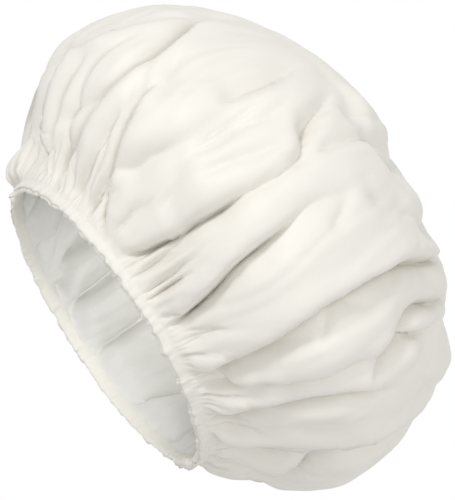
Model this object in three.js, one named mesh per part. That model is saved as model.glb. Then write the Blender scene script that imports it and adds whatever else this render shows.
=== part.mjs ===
// Shampoo cap: a gathered crown of three plies, bound at its edge by a hem that holds an elastic band.
// Millimetres, +Z up through the crown. The origin is the centre of the head opening, in the plane of the rim,
// and the cap stands on that rim. -X is the front of the cap.
import * as THREE from "three";

// Overall form
const OPENING_RADIUS = 85; // clear radius inside the hem
const WIDEST_RADIUS = 145; // to the ridges of the folds
const WIDEST_HEIGHT = 74;
const CAP_HEIGHT = 181;
const HEM_FLARE = THREE.MathUtils.degToRad(20); // lean of the hem band out from upright
const BRIM_RISE = THREE.MathUtils.degToRad(33); // slope of the crown where it leaves the hem

// Cloth
const SHELL_THICKNESS = 0.4; // coated outer cloth
const WADDING_THICKNESS = 1.6; // absorbent fleece that holds the shampoo
const LINER_THICKNESS = 0.8; // soft inner cloth
const BINDING_THICKNESS = 0.4; // strip of outer cloth folded round the raw edges
const LAYER_GAP = 0.3; // clearance between plies
const SEAM_ALLOWANCE = 2; // depth to which the plies reach into the binding
const COLLAR = 1; // upright stretch of the plies above the binding
const WADDING_START = 2; // first row of the crown that the fleece covers

// Elastic and thread
const ELASTIC_WIDTH = 5;
const ELASTIC_THICKNESS = 0.7;
const ELASTIC_LAP = 15; // length by which the two ends overlap
const LAP_GAP = 0.45; // clearance between the lapped ends
const THREAD_DIAMETER = 0.4;
const THREAD_SIDES = 4;
const STITCH_RISE = 0.25; // how far a stitch stands up between two needle holes
const SEAM_DROP = 1.2; // from the top edge of the binding down to the row of stitches
const TACK_LEGS = 7; // zigzag legs that hold the lapped ends
const TACK_MARGIN = 0.8; // from the zigzag to the edges of the elastic

// Gathers
const RUFFLES = 56; // ridges round the hem
const RUFFLE_DEPTH = 0.8;
const RUFFLE_SWELL = 1; // length over which a ruffle rises from the rim
const HEM_FLOOR = 0.6; // cloth under the elastic
const ELASTIC_STEPS = 72;

// Crown mesh
const BRIM_ROWS = 4;
const DOME_ROWS = 5;
const BRIM_FULLNESS = 28; // reach of the curve below the widest ring
const DOME_FULLNESS = 0.62; // 0.55 is an ellipse, more is squarer

// Main folds: valleys that run from the hem to the crown, going round from +X, with a puffed panel of cloth between
// each two. Each has its angle at the hem, at the widest ring and at the crown, in degrees, and its share of the
// full depth.
const FOLD_DEPTH = 10;
const FOLD_BIAS = 0.75; // under 1 draws the deepest stretch of the folds down towards the hem
const PANEL_SHOULDER = 0.28; // share of the way across a panel at which the cloth is fully puffed
const FOLDS = [
  { hem: 8, waist: 10, crown: 12, share: 0.8 },
  { hem: 26, waist: 24, crown: 23, share: 1.0 },
  { hem: 45, waist: 47, crown: 48, share: 0.7 },
  { hem: 64, waist: 66, crown: 68, share: 0.9 },
  { hem: 83, waist: 81, crown: 80, share: 1.0 },
  { hem: 103, waist: 104, crown: 105, share: 0.8 },
  { hem: 123, waist: 121, crown: 119, share: 0.9 },
  { hem: 144, waist: 145, crown: 147, share: 1.0 },
  { hem: 167, waist: 166, crown: 168, share: 0.8 },
  { hem: 189, waist: 187, crown: 190, share: 0.6 },
  { hem: 203, waist: 199, crown: 208, share: 0.6 },
  { hem: 214, waist: 218, crown: 216, share: 0.7 },
  { hem: 239, waist: 232, crown: 230, share: 0.8 },
  { hem: 247, waist: 246, crown: 242, share: 0.7 },
  { hem: 254, waist: 261, crown: 257, share: 1.0 },
  { hem: 281, waist: 274, crown: 276, share: 0.9 },
  { hem: 298, waist: 291, crown: 300, share: 1.0 },
  { hem: 310, waist: 308, crown: 320, share: 0.9 },
  { hem: 328, waist: 330, crown: 336, share: 0.8 },
  { hem: 346, waist: 344, crown: 350, share: 0.6 },
];

// The hem in section. Across is measured outwards from the inner face of the binding, along is measured up the band.
const lappedElastic = 2 * ELASTIC_THICKNESS + LAP_GAP + THREAD_DIAMETER + 3 * LAYER_GAP;
const sewnPlies = SHELL_THICKNESS + LINER_THICKNESS + 3 * LAYER_GAP;
const tunnelWidth = Math.max(lappedElastic, sewnPlies);
const tunnelInner = BINDING_THICKNESS;
const tunnelOuter = tunnelInner + tunnelWidth;
const hemThickness = tunnelOuter + BINDING_THICKNESS;

// Height along the band at which a point that lies this far across is at this height above the rim.
const alongAtHeight = (across, height) => (height + across * Math.sin(HEM_FLARE)) / Math.cos(HEM_FLARE);
const elasticBottom = alongAtHeight(tunnelOuter, HEM_FLOOR) + LAYER_GAP;
const elasticTop = elasticBottom + ELASTIC_WIDTH;
const plyEdge = elasticTop + LAYER_GAP;
const hemTop = plyEdge + SEAM_ALLOWANCE;
const seamAlong = hemTop - SEAM_DROP;

function hemSection(across, along) {
  return new THREE.Vector2(
    OPENING_RADIUS + across * Math.cos(HEM_FLARE) + along * Math.sin(HEM_FLARE),
    along * Math.cos(HEM_FLARE) - across * Math.sin(HEM_FLARE),
  );
}

const aroundAxis = (section, angle) =>
  new THREE.Vector3(section.x * Math.cos(angle), section.x * Math.sin(angle), section.y);

// A closed geometry from its vertices and its triangles.
function geometryOf(vertices, triangles) {
  const geometry = new THREE.BufferGeometry();
  geometry.setAttribute(
    "position",
    new THREE.Float32BufferAttribute(vertices.flatMap((v) => v.toArray()), 3),
  );
  geometry.setIndex(triangles.flat());
  geometry.computeVertexNormals();
  return geometry;
}

// Two triangles between neighbouring stations of a sweep.
const quad = (a, b, c, d) => [
  [a, b, c],
  [a, c, d],
];

// A sweep through stations, each a loop of as many points. It joins up into a ring, or is capped at both ends.
function sweep(stations, closed) {
  const sides = stations[0].length;
  const count = stations.length;
  const triangles = [];
  for (let i = 0; i < (closed ? count : count - 1); i++) {
    const next = ((i + 1) % count) * sides;
    for (let k = 0; k < sides; k++) {
      const turn = (k + 1) % sides;
      triangles.push(...quad(i * sides + k, i * sides + turn, next + turn, next + k));
    }
  }
  if (!closed) {
    const last = (count - 1) * sides;
    for (let k = 1; k < sides - 1; k++) {
      triangles.push([0, k + 1, k], [last, last + k, last + k + 1]);
    }
  }
  return geometryOf(stations.flat(), triangles);
}

// Outer face of the shell: rows from the raw edge in the hem up to the pole, columns on the valleys and panels.
const shellFace = tunnelOuter - LAYER_GAP;
const rawEdge = hemSection(shellFace, plyEdge);
const collarTop = hemSection(shellFace, hemTop + COLLAR);

function crownProfile() {
  const widest = new THREE.Vector2(WIDEST_RADIUS, WIDEST_HEIGHT);
  const brimReach = (WIDEST_RADIUS - collarTop.x) / 3;
  const brim = new THREE.CubicBezierCurve(
    collarTop,
    new THREE.Vector2(collarTop.x + brimReach, collarTop.y + brimReach * Math.tan(BRIM_RISE)),
    new THREE.Vector2(WIDEST_RADIUS, WIDEST_HEIGHT - BRIM_FULLNESS),
    widest,
  );
  const dome = new THREE.CubicBezierCurve(
    widest,
    new THREE.Vector2(WIDEST_RADIUS, WIDEST_HEIGHT + DOME_FULLNESS * (CAP_HEIGHT - WIDEST_HEIGHT)),
    new THREE.Vector2(DOME_FULLNESS * WIDEST_RADIUS, CAP_HEIGHT),
    new THREE.Vector2(0, CAP_HEIGHT),
  );
  const rows = [rawEdge];
  for (let i = 0; i < BRIM_ROWS; i++) rows.push(brim.getPointAt(i / BRIM_ROWS));
  for (let i = 0; i < DOME_ROWS; i++) rows.push(dome.getPointAt(i / DOME_ROWS));
  return rows;
}

const profile = crownProfile();
const rowCount = profile.length;
const columnCount = 3 * FOLDS.length;

// Share of the way from the hem to the pole, 0 on the rows inside the hem.
const rise = (row) => Math.max(0, (row - 1) / (rowCount - 1));
const waistRise = rise(BRIM_ROWS + 1);

// Angle of a fold, straight from the hem to the widest ring and on from there to the crown.
function foldAngle(fold, share) {
  if (share < waistRise) return THREE.MathUtils.lerp(fold.hem, fold.waist, share / waistRise);
  return THREE.MathUtils.lerp(fold.waist, fold.crown, (share - waistRise) / (1 - waistRise));
}

// Angles and depths of the columns in a row: each valley is followed by the two shoulders of its panel.
function columnsOf(row) {
  const swell = Math.sin(Math.PI * rise(row) ** FOLD_BIAS);
  const angles = FOLDS.map((fold) => foldAngle(fold, rise(row)));
  return FOLDS.flatMap((fold, i) => {
    const following = i + 1 < FOLDS.length ? angles[i + 1] : angles[0] + 360;
    const across = (share) => THREE.MathUtils.lerp(angles[i], following, share);
    return [
      { angle: angles[i], depth: FOLD_DEPTH * fold.share * swell },
      { angle: across(PANEL_SHOULDER), depth: 0 },
      { angle: across(1 - PANEL_SHOULDER), depth: 0 },
    ];
  });
}

// Direction of the surface away from the cloth, in section.
function sectionNormal(row) {
  const before = profile[Math.max(0, row - 1)];
  const after = row + 1 < rowCount ? profile[row + 1] : new THREE.Vector2(0, CAP_HEIGHT);
  const tangent = after.clone().sub(before).normalize();
  return new THREE.Vector2(tangent.y, -tangent.x);
}

const shellGrid = profile.map((point, row) => {
  const normal = sectionNormal(row);
  return columnsOf(row).map(({ angle, depth }) =>
    aroundAxis(
      point.clone().addScaledVector(normal, -depth),
      THREE.MathUtils.degToRad(angle),
    ),
  );
});

// Outward normals of that grid, from its neighbours along the rows and the columns.
const shellNormals = shellGrid.map((points, row) =>
  points.map((_, column) => {
    const above = row + 1 < rowCount ? shellGrid[row + 1][column] : new THREE.Vector3(0, 0, CAP_HEIGHT);
    const below = shellGrid[Math.max(0, row - 1)][column];
    const left = points[(column + columnCount - 1) % columnCount];
    const right = points[(column + 1) % columnCount];
    const round = right.clone().sub(left);
    const up = above.clone().sub(below);
    return round.cross(up).normalize();
  }),
);

// One ply: the grid taken in by two distances, closed along its lower edge and at the pole.
function ply(outerDepth, innerDepth, firstRow) {
  const skin = (depth) =>
    shellGrid.slice(firstRow).flatMap((points, i) =>
      points.map((p, column) =>
        p.clone().addScaledVector(shellNormals[firstRow + i][column], -depth(firstRow + i)),
      ),
    );
  const rows = rowCount - firstRow;
  const skinSize = rows * columnCount + 1;
  const pole = (depth) => new THREE.Vector3(0, 0, CAP_HEIGHT - depth(rowCount));
  const vertices = [...skin(outerDepth), pole(outerDepth), ...skin(innerDepth), pole(innerDepth)];
  const triangles = [];
  for (let column = 0; column < columnCount; column++) {
    const next = (column + 1) % columnCount;
    for (let row = 0; row < rows - 1; row++) {
      const low = row * columnCount;
      const high = low + columnCount;
      for (const [a, b, c] of quad(low + column, low + next, high + next, high + column)) {
        triangles.push([a, b, c], [skinSize + a, skinSize + c, skinSize + b]);
      }
    }
    const top = (rows - 1) * columnCount;
    triangles.push([top + column, top + next, skinSize - 1]);
    triangles.push([skinSize + top + next, skinSize + top + column, 2 * skinSize - 1]);
    triangles.push(...quad(next, column, skinSize + column, skinSize + next));
  }
  return geometryOf(vertices, triangles);
}

const shellInside = () => SHELL_THICKNESS;
const waddingOutside = () => SHELL_THICKNESS + LAYER_GAP;
const waddingInside = (row) => waddingOutside(row) + WADDING_THICKNESS;

// The liner lies on the shell inside the hem and on the fleece above it.
const linerOutside = (row) =>
  row < WADDING_START ? SHELL_THICKNESS + LAYER_GAP : waddingInside(row) + LAYER_GAP;
const linerInside = (row) => linerOutside(row) + LINER_THICKNESS;

// A ring whose section changes from column to column, with a ridge and a hollow for each ruffle of the hem.
const ruffleColumns = 2 * RUFFLES;
const ruffleAt = (column) => (column % 2 === 0 ? RUFFLE_DEPTH : 0);

function ruffledRing(sectionAt) {
  const stations = [];
  for (let column = 0; column < ruffleColumns; column++) {
    const angle = (2 * Math.PI * column) / ruffleColumns;
    stations.push(sectionAt(column).map((point) => aroundAxis(point, angle)));
  }
  return sweep(stations.reverse(), true);
}

// Binding: a strip folded into a U round the elastic, open at the top where the plies go in, flat on the rim.
function bindingSection(column) {
  const ruffle = ruffleAt(column);
  const outer = hemThickness + ruffle;
  const inner = -ruffle;
  const upTo = (across, height) => hemSection(across, alongAtHeight(across, height));
  return [
    upTo(hemThickness, 0),
    upTo(outer, RUFFLE_SWELL),
    hemSection(outer, hemTop),
    hemSection(tunnelOuter, hemTop),
    upTo(tunnelOuter, HEM_FLOOR),
    upTo(tunnelInner, HEM_FLOOR),
    hemSection(tunnelInner, hemTop),
    hemSection(inner, hemTop),
    upTo(inner, RUFFLE_SWELL),
    upTo(0, 0),
  ];
}

// Seam thread: lies over the binding, standing up on the ridges between needle holes in the hollows.
function threadSection(face, outwards) {
  return (column) => {
    const stitch = ruffleAt(column) + (column % 2 === 0 ? STITCH_RISE : 0);
    const across = face + outwards * (stitch + LAYER_GAP + THREAD_DIAMETER / 2);
    return Array.from({ length: THREAD_SIDES }, (_, side) => {
      const turn = (2 * Math.PI * side) / THREAD_SIDES;
      const radius = THREAD_DIAMETER / 2;
      return hemSection(across + radius * Math.cos(turn), seamAlong + radius * Math.sin(turn));
    });
  };
}

// Elastic: one flat strip, wound once round the tunnel so that its ends lap.
const elasticFace = tunnelInner + LAYER_GAP;
const elasticRadius = hemSection(elasticFace, elasticBottom).x;
const lapTurn = ELASTIC_LAP / elasticRadius;
const windingStep = ELASTIC_THICKNESS + LAP_GAP;
const elasticAcross = (angle) => elasticFace + (windingStep * angle) / (2 * Math.PI);

function elasticBand() {
  const stations = [];
  for (let step = 0; step <= ELASTIC_STEPS; step++) {
    const angle = ((2 * Math.PI + lapTurn) * step) / ELASTIC_STEPS;
    const inner = elasticAcross(angle);
    const outer = inner + ELASTIC_THICKNESS;
    stations.push(
      [
        hemSection(inner, elasticBottom),
        hemSection(inner, elasticTop),
        hemSection(outer, elasticTop),
        hemSection(outer, elasticBottom),
      ].map((point) => aroundAxis(point, angle)),
    );
  }
  return sweep(stations, false);
}

// Zigzag of thread over the lapped ends.
function tackThread() {
  const radius = THREAD_DIAMETER / 2;
  const across = elasticAcross(2 * Math.PI + lapTurn) + ELASTIC_THICKNESS + LAYER_GAP + radius;
  const margin = TACK_MARGIN / ELASTIC_LAP;
  const points = Array.from({ length: TACK_LEGS + 1 }, (_, leg) => {
    const angle = lapTurn * (margin + ((1 - 2 * margin) * leg) / TACK_LEGS);
    const along = leg % 2 === 0 ? elasticBottom + TACK_MARGIN : elasticTop - TACK_MARGIN;
    return aroundAxis(hemSection(across, along), angle);
  });
  const section = new THREE.Shape().absarc(0, 0, radius, 0, 2 * Math.PI);
  return new THREE.ExtrudeGeometry(section, {
    extrudePath: new THREE.CatmullRomCurve3(points, false, "catmullrom", 0.2),
    steps: TACK_LEGS * 4,
    curveSegments: 3,
  });
}

const cloth = (color, roughness) =>
  new THREE.MeshStandardMaterial({ color, roughness, metalness: 0, flatShading: true });
const IVORY = cloth(0xf3f0e6, 0.55);
const FLEECE = cloth(0xeeeeec, 0.95);
const LINING = cloth(0xe9e8e3, 0.85);
const RUBBER = cloth(0xf0efea, 0.7);
const THREAD = cloth(0xf5f2e8, 0.6);

const cap = new THREE.Group();

function add(name, geometry, material) {
  const mesh = new THREE.Mesh(geometry, material);
  mesh.name = name;
  cap.add(mesh);
}

add("outer_shell", ply(() => 0, shellInside, 0), IVORY);
add("absorbent_wadding", ply(waddingOutside, waddingInside, WADDING_START), FLEECE);
add("inner_liner", ply(linerOutside, linerInside, 0), LINING);
add("hem_binding", ruffledRing(bindingSection), IVORY);
add("elastic_band", elasticBand(), RUBBER);
add("elastic_tack_thread", tackThread(), THREAD);
add("hem_needle_thread", ruffledRing(threadSection(hemThickness, 1)), THREAD);
add("hem_bobbin_thread", ruffledRing(threadSection(0, -1)), THREAD);

export default cap;
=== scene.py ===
import math

import bpy
import numpy as np
from mathutils import Matrix, Vector


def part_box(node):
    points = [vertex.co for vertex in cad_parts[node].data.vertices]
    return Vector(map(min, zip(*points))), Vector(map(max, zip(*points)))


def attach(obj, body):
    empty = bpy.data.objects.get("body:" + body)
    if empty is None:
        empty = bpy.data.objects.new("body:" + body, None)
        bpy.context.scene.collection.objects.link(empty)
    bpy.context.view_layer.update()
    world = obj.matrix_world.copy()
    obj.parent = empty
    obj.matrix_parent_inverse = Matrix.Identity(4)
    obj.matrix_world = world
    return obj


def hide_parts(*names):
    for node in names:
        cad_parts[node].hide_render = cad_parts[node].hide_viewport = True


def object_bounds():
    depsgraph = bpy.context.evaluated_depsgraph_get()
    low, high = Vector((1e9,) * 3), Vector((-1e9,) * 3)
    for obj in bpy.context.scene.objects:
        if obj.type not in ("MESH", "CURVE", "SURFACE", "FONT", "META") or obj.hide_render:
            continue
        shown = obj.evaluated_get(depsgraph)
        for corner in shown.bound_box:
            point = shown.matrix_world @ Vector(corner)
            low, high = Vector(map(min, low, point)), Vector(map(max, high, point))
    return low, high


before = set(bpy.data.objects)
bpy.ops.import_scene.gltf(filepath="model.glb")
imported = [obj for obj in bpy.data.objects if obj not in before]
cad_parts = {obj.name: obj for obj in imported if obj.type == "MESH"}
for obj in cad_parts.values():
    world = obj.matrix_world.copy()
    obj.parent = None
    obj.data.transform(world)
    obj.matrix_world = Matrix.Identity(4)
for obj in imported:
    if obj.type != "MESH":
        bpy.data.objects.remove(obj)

# Viewpoint. The cap is seen from the side and a little from below its rim, rolled so that the mouth
# faces the lower left of the picture.
VIEW_DISTANCE = 1.5
VIEW_RISE = math.radians(-16.5)
VIEW_ROLL = math.radians(57.25)
VIEW_TARGET = Vector((0.0007, 0, 0.084))
VIEW_LENS = 195.3
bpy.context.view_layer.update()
scene = bpy.context.scene
scene.view_settings.view_transform = "Standard"
view_back = Vector((0, -math.cos(VIEW_RISE), math.sin(VIEW_RISE)))
level_right = Vector((0, 0, 1)).cross(view_back).normalized()
level_up = view_back.cross(level_right)
view_right = level_right * math.cos(VIEW_ROLL) + level_up * math.sin(VIEW_ROLL)
view_up = level_up * math.cos(VIEW_ROLL) - level_right * math.sin(VIEW_ROLL)


def new_object(name, data):
    """An object of the scene that shows this mesh, lamp or camera."""
    made = bpy.data.objects.new(name, data)
    scene.collection.objects.link(made)
    return made


camera = new_object("camera", bpy.data.cameras.new("camera"))
camera.data.lens = VIEW_LENS
camera.matrix_world = Matrix((view_right, view_up, view_back)).transposed().to_4x4()
camera.location = VIEW_TARGET + view_back * VIEW_DISTANCE
scene.camera = camera

# Outer shell. One round blank of thin, satin-faced coated cloth, drawn in by the elastic so that it puffs
# out into a crown. Its fullness falls into long folds that run up from the hem, and its edge is rolled
# down over the outer face of the binding.
MM = 0.001  # the cap's lengths are in millimetres, and this turns them into the scene's metres
shell_low, shell_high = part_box("outer_shell")
CROWN = shell_high[2] / MM
WIDEST = (shell_high[0] - shell_low[0]) / 2 / MM
BELLY = 74  # height of the widest ring
TUCK = 6  # length up the cloth at which it leaves the hem
FREE = 14  # length up the cloth from which its folds are at their full depth
SHELL_CASING = [(88.9, 0.6), (89.8, 1.5), (90.4, 2.5), (90.7, 3.5), (90.7, 4.5), (90.5, 5.2)]
SHELL_BELOW = [(90.5, 5.7), (106, 21), (WIDEST, 45), (WIDEST, BELLY)]
SHELL_ABOVE = [(WIDEST, BELLY), (WIDEST, 140), (90, CROWN), (0, CROWN)]
SHELL_THICKNESS = 0.4 * MM
CURVE_POINTS = 400
LEAST_RADIUS = 20  # radius below which a push sideways turns the cloth no further
rng = np.random.default_rng(7)


def ease(value, start, end):
    """A smooth step from 0 at the start to 1 at the end."""
    share = np.clip((value - start) / (end - start), 0, 1)
    return share * share * (3 - 2 * share)


def bell(offset, width):
    """A soft rise of 1 at no offset, which fades over a width."""
    return np.exp(-(offset / width) ** 2)


def turn_from(turn, middle):
    """Degrees from a middle turn, the short way round the cap."""
    return np.mod(turn - middle + 180, 360) - 180


def bezier(points, count):
    """Points on the cubic curve of these four points."""
    a, b, c, d = np.array(points, float)
    t = np.linspace(0, 1, count)[:, None]
    return a * (1 - t) ** 3 + 3 * b * t * (1 - t) ** 2 + 3 * c * t * t * (1 - t) + d * t ** 3


class Profile:
    """The side line of a layer of the cap, from its hem to the middle of the crown."""

    def __init__(self, below, above, casing=()):
        line = np.vstack([*casing, bezier(below, CURVE_POINTS)[:-1], bezier(above, 2 * CURVE_POINTS)])
        lengths = np.r_[0, np.cumsum(np.hypot(*np.diff(line, axis=0).T))]
        self.up = TUCK + lengths - lengths[len(casing)]
        self.line = line
        self.start = self.up[0]
        self.end = self.up[-1]
        slope = np.gradient(line, self.up, axis=0)
        self.slope = slope / np.linalg.norm(slope, axis=1, keepdims=True)

    def at(self, up):
        """Radius and height at each length up the cloth, and the way that its outer face looks there."""
        radius = np.interp(up, self.up, self.line[:, 0])
        height = np.interp(up, self.up, self.line[:, 1])
        lean_out = np.interp(up, self.up, self.slope[:, 1])
        lean_up = -np.interp(up, self.up, self.slope[:, 0])
        return radius, height, lean_out, lean_up

    def place(self, turn, up, inward, sideways=0):
        """Points of the cloth in the scene, moved inward and sideways from the side line."""
        radius, height, lean_out, lean_up = self.at(up)
        angle = np.radians(turn) + sideways / np.maximum(radius, LEAST_RADIUS)
        reach = radius - lean_out * inward
        spot = [reach * np.cos(angle), reach * np.sin(angle), height - lean_up * inward]
        return np.stack(spot, -1) * MM


shell_profile = Profile(SHELL_BELOW, SHELL_ABOVE, SHELL_CASING)

# Creases of the side that is seen, going round: depth, width of the slope before and after the crease, and
# its line, as degrees round the cap and millimetres up the cloth. A depth below zero is a ridge.
FRONT_CREASES = [
    (5, 6, 5, [(181, 13), (181, 26), (185, 39), (188, 55)]),
    (5, 6, 4, [(189, 12), (191, 22), (192.5, 38)]),
    (14, 10, 2, [(204, 11), (200, 24), (198, 31), (196.5, 45), (197, 58), (198.5, 70), (199, 79),
        (204, 88), (207, 98), (209.5, 111), (212, 140)]),
    (6, 5, 1.8, [(186.5, 9), (186, 30), (189, 62), (194, 84)]),
    (5, 4, 1.8, [(193.5, 9), (192, 28), (192, 62)]),
    (3.2, 2.8, 2.6, [(195, 9), (194.5, 18), (195, 30)]),
    (6.5, 5, 1.8, [(208, 9), (206, 30), (204.5, 56), (206, 80)]),
    (6.5, 5, 1.8, [(213.5, 9), (212, 40), (211.5, 74), (214, 106)]),
    (3.2, 2.8, 2.6, [(209, 9), (208, 16), (208.5, 30)]),
    (3.2, 2.8, 2.6, [(213, 9), (213, 17), (215, 34)]),
    (4, 5, 4, [(208, 40), (213, 51), (216.5, 60), (219.5, 72)]),
    (12, 5.5, 2.4, [(216.5, 15), (217, 25), (218, 32), (219.5, 42), (220, 52), (221, 61), (222.5, 74),
        (222.5, 89), (222.3, 100), (221.5, 110), (220, 121), (216.5, 136), (212, 165)]),
    (3.2, 2.8, 2.6, [(221, 9), (221, 19), (222.5, 40)]),
    (3.2, 2.8, 2.6, [(224.5, 9), (224.8, 18), (226, 32)]),
    (3.2, 2.8, 2.6, [(228, 8), (228, 14), (228.5, 36)]),
    (4.5, 6, 4, [(229.5, 70), (227.5, 83), (226, 92), (224, 102), (222.5, 114)]),
    (4.5, 5, 5, [(233.5, 82), (231.5, 93), (229, 101), (226, 112)]),
    (6, 4, 1.8, [(226, 9), (227.5, 38), (228, 66)]),
    (6, 4, 1.8, [(232, 9), (230.5, 40), (226.5, 72)]),
    (3, 2.8, 2.6, [(234, 8), (235, 16), (236.5, 26)]),
    (12, 5.5, 2.4, [(240.5, 12), (240, 17), (238, 25), (236.5, 34), (234.5, 43), (233.5, 54),
        (232.5, 64), (231.3, 72), (230, 90)]),
    (5.5, 4.5, 9, [(237, 36), (239.5, 48), (241.5, 60), (243.5, 69), (245, 79), (245.5, 90),
        (245.5, 101), (245.5, 114), (245.3, 132)]),
    (4.5, 2.2, 3.6, [(247, 79), (247.5, 95), (247.5, 111), (247.5, 128)]),
    (4, 2.4, 4, [(248.5, 75), (250, 90), (249.7, 107), (250.5, 125), (249, 144)]),
    (4, 3, 5, [(253.5, 73), (255, 91), (256.5, 107), (257, 123)]),
    (8, 9, 4, [(243.2, 108), (242.5, 124), (242.5, 135), (242, 148), (240, 164), (237.5, 182)]),
    (3.5, 5.5, 6, [(254, 44), (252.5, 54), (250.5, 64), (249.5, 74)]),
    (3.4, 4, 4, [(246.5, 14), (247.5, 29), (249.5, 44)]),
    (8.6, 3.2, 5, [(254, 9), (256.5, 18), (258, 28), (259.5, 37), (260.3, 50), (261.3, 66), (262, 86)]),
    (6, 4, 6, [(261, 60), (262, 84), (262.7, 100), (263, 115), (261.5, 130)]),
    (6.5, 3.5, 5, [(262.7, 116), (261.5, 128), (259, 136), (257, 142), (255, 156)]),
    (6, 4, 3.4, [(260, 130), (257, 140), (255, 151), (252.5, 166), (249, 182)]),
    (5, 6, 5, [(256.5, 174), (257.5, 190), (261, 206)]),
    (5, 6, 4, [(263, 135), (263.5, 151), (264, 166), (265.5, 186), (268, 205), (270, 224)]),
    (3, 2.8, 2.6, [(260.5, 10), (262, 20), (264, 32)]),
    (3.2, 3, 2.8, [(262, 20), (263, 31), (264.7, 52)]),
    (3.2, 3, 2.8, [(267.3, 9), (267.3, 28), (268, 48)]),
    (3, 2.8, 2.6, [(269.8, 9), (270, 31)]),
    (8.8, 1.8, 9, [(281, 9), (280, 15), (279, 22), (278, 30), (276, 44), (274.5, 54), (273.5, 65),
        (273, 78), (272.7, 94), (272, 108)]),
    (4, 5, 9, [(273.5, 66), (272.7, 94), (271.7, 117), (272.3, 128), (274, 142)]),
    (3, 4, 4, [(278, 117), (276.5, 128), (274.5, 138)]),
    (4.5, 7, 8, [(277, 146), (280, 158), (284, 166), (288.5, 178), (295, 194)]),
    (3.2, 3, 2.8, [(288.5, 13), (286.5, 35)]),
    (12, 2.2, 9, [(300, 6), (299, 13), (298, 22), (296.5, 32), (295, 46), (293.5, 61), (292, 74),
        (291.3, 88), (291.5, 97), (292, 106), (293, 125), (294, 134), (295.5, 148), (299, 164),
        (306, 183), (315, 204)]),
    (3, 3, 3, [(298, 84), (295, 91), (292, 98)]),
    (2.2, 4, 5, [(293, 106), (296.5, 114), (297.5, 124)]),
    (5.5, 2.4, 5, [(302, 15), (303.5, 22), (306, 26.5), (307.3, 32), (307, 39), (306, 50)]),
    (7, 4, 6, [(306, 43), (307, 55), (306.5, 63), (307, 74), (307, 88), (307.5, 99), (309, 108),
        (311, 120)]),
    (9, 5, 6, [(312.5, 104), (311, 116), (310.5, 122), (311, 131), (315, 145), (319.5, 164)]),
    (9, 9, 5, [(311, 122), (309, 134), (308, 143), (310.5, 157), (317, 172), (327, 192)]),
    (11.5, 4, 6, [(320, 10), (319, 17), (317, 26), (315, 37), (313.5, 50), (312.6, 62), (312.7, 74),
        (313.3, 84), (315, 94), (317.5, 103), (320, 116)]),
    (2.5, 2.5, 2.5, [(321, 6), (321.5, 12), (320, 22)]),
    (12, 2, 10, [(325.5, 6), (330, 9), (331.7, 14), (332, 22), (330.5, 34), (329.5, 44), (329, 54),
        (329.5, 71), (330.5, 81), (331, 92), (333, 103), (336, 118)]),
    (9, 2.4, 7, [(338.5, 14), (337.5, 34), (335.5, 52), (333.5, 70), (335, 90)]),
    (10, 2.6, 8, [(353, 25), (349.5, 41), (344, 52), (338.5, 61), (334, 74)]),
    (7, 3, 6, [(350, 8), (351, 20), (350, 38), (349, 62)]),
    (-2, 14, 14, [(236, 190), (243, 213), (250, 225)]),
    (-7, 12, 12, [(253, 192), (257, 206), (262, 222)]),
    (10, 9, 9, [(268.5, 180), (273, 197), (277.5, 215)]),
    (-3, 9, 9, [(287, 178), (292, 198), (297, 212)]),
    (6, 6, 6, [(296, 187), (300, 200), (305, 215)]),
    (-5, 10, 10, [(309, 176), (314, 190), (319, 206)]),
    (-4, 9, 8, [(319, 178), (324, 190), (329, 202)]),
    (5, 4, 4, [(325, 172), (332, 182), (338, 195)]),
    (-6, 10, 8, [(329, 138), (332.5, 156), (338, 178)]),
    (-3, 14, 14, [(11, 8), (8, 22), (5, 40)]),
    (12, 3, 12, [(330.5, 84), (334, 106), (337.5, 122), (341, 138), (347, 162)]),
    (-3, 12, 12, [(352, 4), (354, 14), (356, 40)]),
    (3, 10, 10, [(188, 40), (188.5, 61), (190, 85)]),
    (2.5, 16, 16, [(186, 62), (196, 103), (202, 128)]),
    (3, 14, 14, [(204, 135), (209, 152), (214, 170)]),
    (-1.5, 14, 14, [(219, 185), (224, 200), (230, 214)]),
    (-9, 12, 14, [(168, 2), (171, 10), (172, 22), (172.5, 31)]),
]

# Folds of the side away from the view, as degrees round the cap at the hem and at the belly. The pairs
# below are the least and the most of what is drawn at random for each fold.
BACK_FOLDS = [(10, 12), (22, 24), (38, 36), (55, 57), (69, 70), (81, 80), (92, 94), (105, 104),
              (117, 119), (130, 128), (143, 145), (157, 159), (170, 169)]
SHARP_SLOPE, SOFT_SLOPE = (2, 3), (4.5, 7.5)
SHARP_FIRST = 0.6  # share of the folds whose sharp slope comes first
LOWER_DEPTH, LOWER_HEIGHTS = (5, 7), (9, 30, 90)
UPPER_DEPTH, UPPER_HEIGHTS, UPPER_END = (8.2, 10.5), (48, 84), (130, 225)
SMALL_DEPTH, SMALL_SLOPES, SMALL_LENGTH, SMALL_START = (2, 3.5), (2.8, 3.2), 34, (9, 90)
SMALL_PER_FOLD = 3
LOOSE_DEPTH, LOOSE_BEFORE, LOOSE_AFTER = (4, 7.5), (2.5, 5), (4, 7)
LOOSE_ASIDE, LOOSE_START, LOOSE_LENGTH = (3, 9), (60, 130), (50, 90)


def stray(most):
    """A drawn number of degrees to either side."""
    return rng.uniform(-most, most)


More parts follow.
